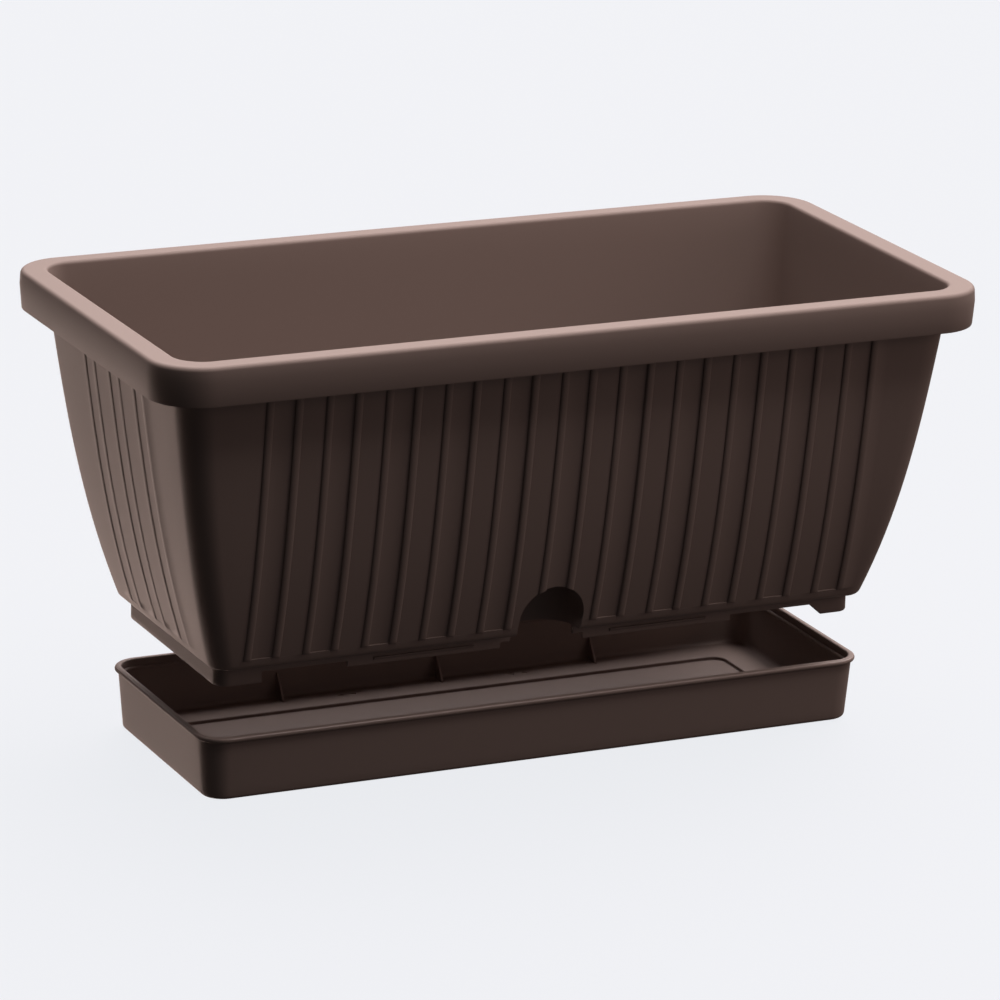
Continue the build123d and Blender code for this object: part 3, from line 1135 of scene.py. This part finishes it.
    def is_painted_highlight(self, face: bpy.types.MeshPolygon) -> bool:
        """Tell whether a face is on the lip's outer curve or a gusset's front edge, where a highlight is painted in a
        pale colour.

        Args:
            face: Face of the moulding, in metres.

        Returns:
            True on those edges.
        """
        place, normal = (face.center - self.middle) / MM, face.normal
        if place.z > self.height - self.lip_height:
            outward = normal.x * place.x > -0.01 and normal.y * place.y > -0.01
            return outward and 0.45 < normal.z < 0.9
        on_blade = any(abs(place.x - x) < self.gusset_thick * 0.6 for x in self.back_gussets)
        return on_blade and self.floor + 1.0 < place.z < self.gusset_top and abs(normal.x) < 0.8 and normal.z > 0.1

    def dress(self, piece: bpy.types.Object) -> None:
        """Give the moulding its finish and its place in the model."""
        piece.data.materials.clear()
        # The second material paints a highlight on the lip and gusset edges.
        for finish in (self.finish, self.painted_highlight_finish):
            piece.data.materials.append(finish.material())
        for face in piece.data.polygons:
            face.material_index = int(self.is_painted_highlight(face))
        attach(piece, "saucer")
        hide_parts("saucer")


@dataclass
class SoilGrid:
    """Perforated false floor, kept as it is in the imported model."""

    node: str = "soil_grid"
    finish: MouldedPlastic = MouldedPlastic("grid_plastic", rough=0.55, smooth=0.45)

    def dress(self) -> None:
        """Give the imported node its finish."""
        piece = bpy.data.objects[self.node]
        piece.data.materials.clear()
        piece.data.materials.append(self.finish.material())


@dataclass
class Wick:
    """Felt strip folded over a bar of the grid, its two ends hanging down."""

    number: int
    thick: float = 3.2
    span: float = 16.0
    wave: float = 0.35
    finish: Felt = Felt()

    def build(self) -> bpy.types.Object:
        """Bend a strip over the bar, thicken it and roughen its faces a little.

        Returns:
            The piece.
        """
        low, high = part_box(f"wick_{self.number}")
        x = (low[0] + high[0]) / 2 / MM
        y = (low[1] / MM, high[1] / MM)
        bottom, top = low[2] / MM, high[2] / MM
        half = (self.span - self.thick) / 2 - 0.2
        bend = 3.0
        leg = top - self.thick / 2 - 0.2 - bend
        path = [(-half, z) for z in fine_steps(bottom + 0.3, leg, 22)]
        for turn in fine_steps(180, 90, 6)[1:]:
            a = math.radians(turn)
            path.append((-half + bend + bend * math.cos(a), leg + bend * math.sin(a)))
        path += [(-x_at, z) for x_at, z in reversed(path)]
        made = bmesh.new()
        rows, columns = len(path) - 1, 12
        bmesh.ops.create_grid(made, x_segments=columns, y_segments=rows, size=0.5)
        for vertex in made.verts:
            across = vertex.co.x + 0.5
            at, z = path[round((vertex.co.y + 0.5) * rows)]
            vertex.co = Vector((x + at, y[0] + 0.4 + (y[1] - y[0] - 0.8) * across, z)) * MM
        bmesh.ops.remove_doubles(made, verts=made.verts, dist=0.01 * MM)
        bmesh.ops.recalc_face_normals(made, faces=made.faces)
        inner = (self.thick - 0.4) * MM
        bmesh.ops.solidify(made, geom=made.faces[:], thickness=inner)
        bmesh.ops.recalc_face_normals(made, faces=made.faces)
        middle = Vector((x, (y[0] + y[1]) / 2, (bottom + top) / 2)) * MM
        for vertex in made.verts:
            lump = noise.noise(vertex.co * 260.0 + Vector((self.number * 7.3, 0, 0)))
            vertex.co += (vertex.co - middle).normalized() * lump * self.wave * MM * 0.5
        return piece_from(made, f"felt_wick_{self.number}", 50.0)

    def dress(self, piece: bpy.types.Object) -> None:
        """Give the wick its finish and its place in the model."""
        piece.data.materials.append(self.finish.material())
        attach(piece, "grid")
        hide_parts(f"wick_{self.number}")


@dataclass(frozen=True)
class SkyPatch:
    """Soft bright patch of the surrounding light.

    Attributes:
        towards: Direction of its middle.
        colour: Colour and strength.
        edge: Cosine of the angle where it fades out.
        core: Cosine of the angle where it reaches its full strength.
        gloss_only: Whether only reflections show it, and not the matt part of a surface.
    """

    towards: tuple[float, float, float]
    colour: tuple[float, float, float]
    edge: float
    core: float
    gloss_only: bool = False


@dataclass
class Studio:
    """Pale floor and soft light round the object."""

    backdrop: tuple[float, float, float] = (0.888, 0.904, 0.939)
    floor_size: float = 24.0
    floor_glow: float = 0.905
    ambient: tuple[float, float, float] = (0.015, 0.013, 0.013)
    patches: tuple[SkyPatch, ...] = (
        SkyPatch((0.24, 0.0, 0.97), (1.0, 0.94, 0.92), 0.67, 0.99),
        SkyPatch((0.37, 0.48, 0.79), (4.3, 3.85, 3.8), 0.67, 0.99),
        SkyPatch((0.45, 0.78, -0.44), (0.8, 0.62, 0.54), 0.67, 0.99),
        SkyPatch((-0.20, 0.86, -0.47), (7.6, 5.9, 5.3), 0.90, 0.998, True),
        SkyPatch((-0.61, 0.61, -0.51), (0.4, 0.3, 0.25), 0.88, 0.998),
        SkyPatch((0.2, -0.9, -0.38), (0.08, 0.07, 0.07), 0.67, 0.99),
    )

    def floor(self) -> None:
        """Lay the floor, which the camera sees and the object stands on."""
        made = bmesh.new()
        bmesh.ops.create_grid(made, x_segments=8, y_segments=8, size=self.floor_size / 2)
        piece = piece_from(made, "floor")
        material = bpy.data.materials.new("floor_paint")
        material.use_nodes = True
        shader = material.node_tree.nodes["Principled BSDF"]
        shader.inputs["Base Color"].default_value = (0.035, 0.035, 0.037, 1.0)
        shader.inputs["Roughness"].default_value = 0.9
        shader.inputs["Specular IOR Level"].default_value = 0.1
        shader.inputs["Emission Color"].default_value = (*self.backdrop, 1.0)
        shader.inputs["Emission Strength"].default_value = self.floor_glow
        piece.data.materials.append(material)
        piece.visible_glossy = False
        piece.visible_diffuse = False
        piece.visible_shadow = False

    def sky(self) -> None:
        """Surround the object with soft light, and show the camera a plain pale backdrop."""
        world = bpy.data.worlds.new("studio_light")
        bpy.context.scene.world = world
        world.use_nodes = True
        tree = world.node_tree
        tree.nodes.clear()
        node, link = tree.nodes.new, tree.links.new
        place, path = node("ShaderNodeTexCoord"), node("ShaderNodeLightPath")
        total = None
        for patch in self.patches:
            facing = node("ShaderNodeVectorMath")
            facing.operation = "DOT_PRODUCT"
            facing.inputs[1].default_value = Vector(patch.towards).normalized()
            link(place.outputs["Generated"], facing.inputs[0])
            fade = node("ShaderNodeMapRange")
            fade.interpolation_type = "SMOOTHSTEP"
            fade.inputs["From Min"].default_value = patch.edge
            fade.inputs["From Max"].default_value = patch.core
            link(facing.outputs["Value"], fade.inputs["Value"])
            light = node("ShaderNodeVectorMath")
            light.operation = "SCALE"
            light.inputs[0].default_value = patch.colour
            strength = fade.outputs["Result"]
            if patch.gloss_only:
                seen_in_gloss = node("ShaderNodeMath")
                seen_in_gloss.operation = "MULTIPLY"
                link(strength, seen_in_gloss.inputs[0])
                link(path.outputs["Is Glossy Ray"], seen_in_gloss.inputs[1])
                strength = seen_in_gloss.outputs["Value"]
            link(strength, light.inputs["Scale"])
            add = node("ShaderNodeVectorMath")
            add.operation = "ADD"
            link(light.outputs["Vector"], add.inputs[0])
            if total is None:
                add.inputs[1].default_value = self.ambient
            else:
                link(total, add.inputs[1])
            total = add.outputs["Vector"]
        lit, seen = node("ShaderNodeBackground"), node("ShaderNodeBackground")
        link(total, lit.inputs["Color"])
        seen.inputs["Color"].default_value = (*self.backdrop, 1.0)
        mix, end = node("ShaderNodeMixShader"), node("ShaderNodeOutputWorld")
        link(path.outputs["Is Camera Ray"], mix.inputs["Fac"])
        link(lit.outputs["Background"], mix.inputs[1])
        link(seen.outputs["Background"], mix.inputs[2])
        link(mix.outputs["Shader"], end.inputs["Surface"])

    def lamp(self, name: str, place: tuple[float, float, float], size: Pair, power: float, colour: tuple[float, float, float]) -> None:
        """Hang a soft rectangular lamp that points at the object.

        Args:
            name: Name of the lamp.
            place: Place in metres.
            size: Width and height in metres.
            power: Power in watts.
            colour: Colour of its light.
        """
        light = bpy.data.lights.new(name, "AREA")
        light.shape = "RECTANGLE"
        light.size, light.size_y = size
        light.energy = power
        light.color = colour
        piece = bpy.data.objects.new(name, light)
        aim = (Vector((0, 0, 0.15)) - Vector(place)).to_track_quat("-Z", "Y").to_matrix().to_4x4()
        piece.matrix_world = Matrix.Translation(place) @ aim
        piece.visible_camera = False
        bpy.context.scene.collection.objects.link(piece)

    def build(self) -> None:
        """Lay the floor and light the object."""
        self.floor()
        self.sky()
        self.lamp("top_lamp", (0.0, 0.0, 1.3), (0.8, 0.8), 3.4, (1.0, 0.80, 0.74))
        self.lamp("strip_lamp", (0.5, -0.5, 1.35), (0.85, 0.12), 5.0, (1.0, 0.86, 0.82))
        self.lamp("right_lamp", (1.1, -0.9, 0.5), (0.8, 0.8), 2.5, (1.0, 0.75, 0.68))
        bpy.context.scene.view_settings.view_transform = "Standard"
        bpy.context.scene.view_settings.look = "None"


@dataclass(frozen=True)
class Camera:
    """Long lens in front of the left corner, a little above the rim."""

    place: tuple[float, float, float] = (-1.32399, -2.84728, 1.08732)
    yaw: float = 0.4365
    pitch: float = 0.2947
    roll: float = 0.0242
    lens: float = 204.83

    def build(self) -> None:
        """Put the camera in the scene and make it the scene's own."""
        ahead = Vector((math.sin(self.yaw) * math.cos(self.pitch), math.cos(self.yaw) * math.cos(self.pitch), -math.sin(self.pitch)))
        right = ahead.cross(Vector((0, 0, 1))).normalized()
        up = right.cross(ahead)
        cos, sin = math.cos(self.roll), math.sin(self.roll)
        right, up = right * cos + up * sin, up * cos - right * sin
        lens = bpy.data.cameras.new("camera")
        lens.lens = self.lens
        lens.sensor_width = 36.0
        lens.clip_start, lens.clip_end = 0.05, 100.0
        piece = bpy.data.objects.new("camera", lens)
        piece.matrix_world = Matrix.Translation(self.place) @ Matrix((right, up, -ahead)).transposed().to_4x4()
        bpy.context.scene.collection.objects.link(piece)
        bpy.context.scene.camera = piece


def main() -> None:
    """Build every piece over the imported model, then the stage."""
    logging.basicConfig(level=logging.INFO, format="%(message)s")
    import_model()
    box = PlanterBox()
    saucer = Saucer()
    for maker in (box, saucer):
        piece = maker.build()
        maker.dress(piece)
        LOG.info("%s: %d faces", piece.name, len(piece.data.polygons))
    SoilGrid().dress()
    for number in range(1, 5):
        wick = Wick(number)
        piece = wick.build()
        wick.dress(piece)
        LOG.info("%s: %d faces", piece.name, len(piece.data.polygons))
    Studio().build()
    Camera().build()
    bpy.context.view_layer.update()


if __name__ == "__main__":
    main()
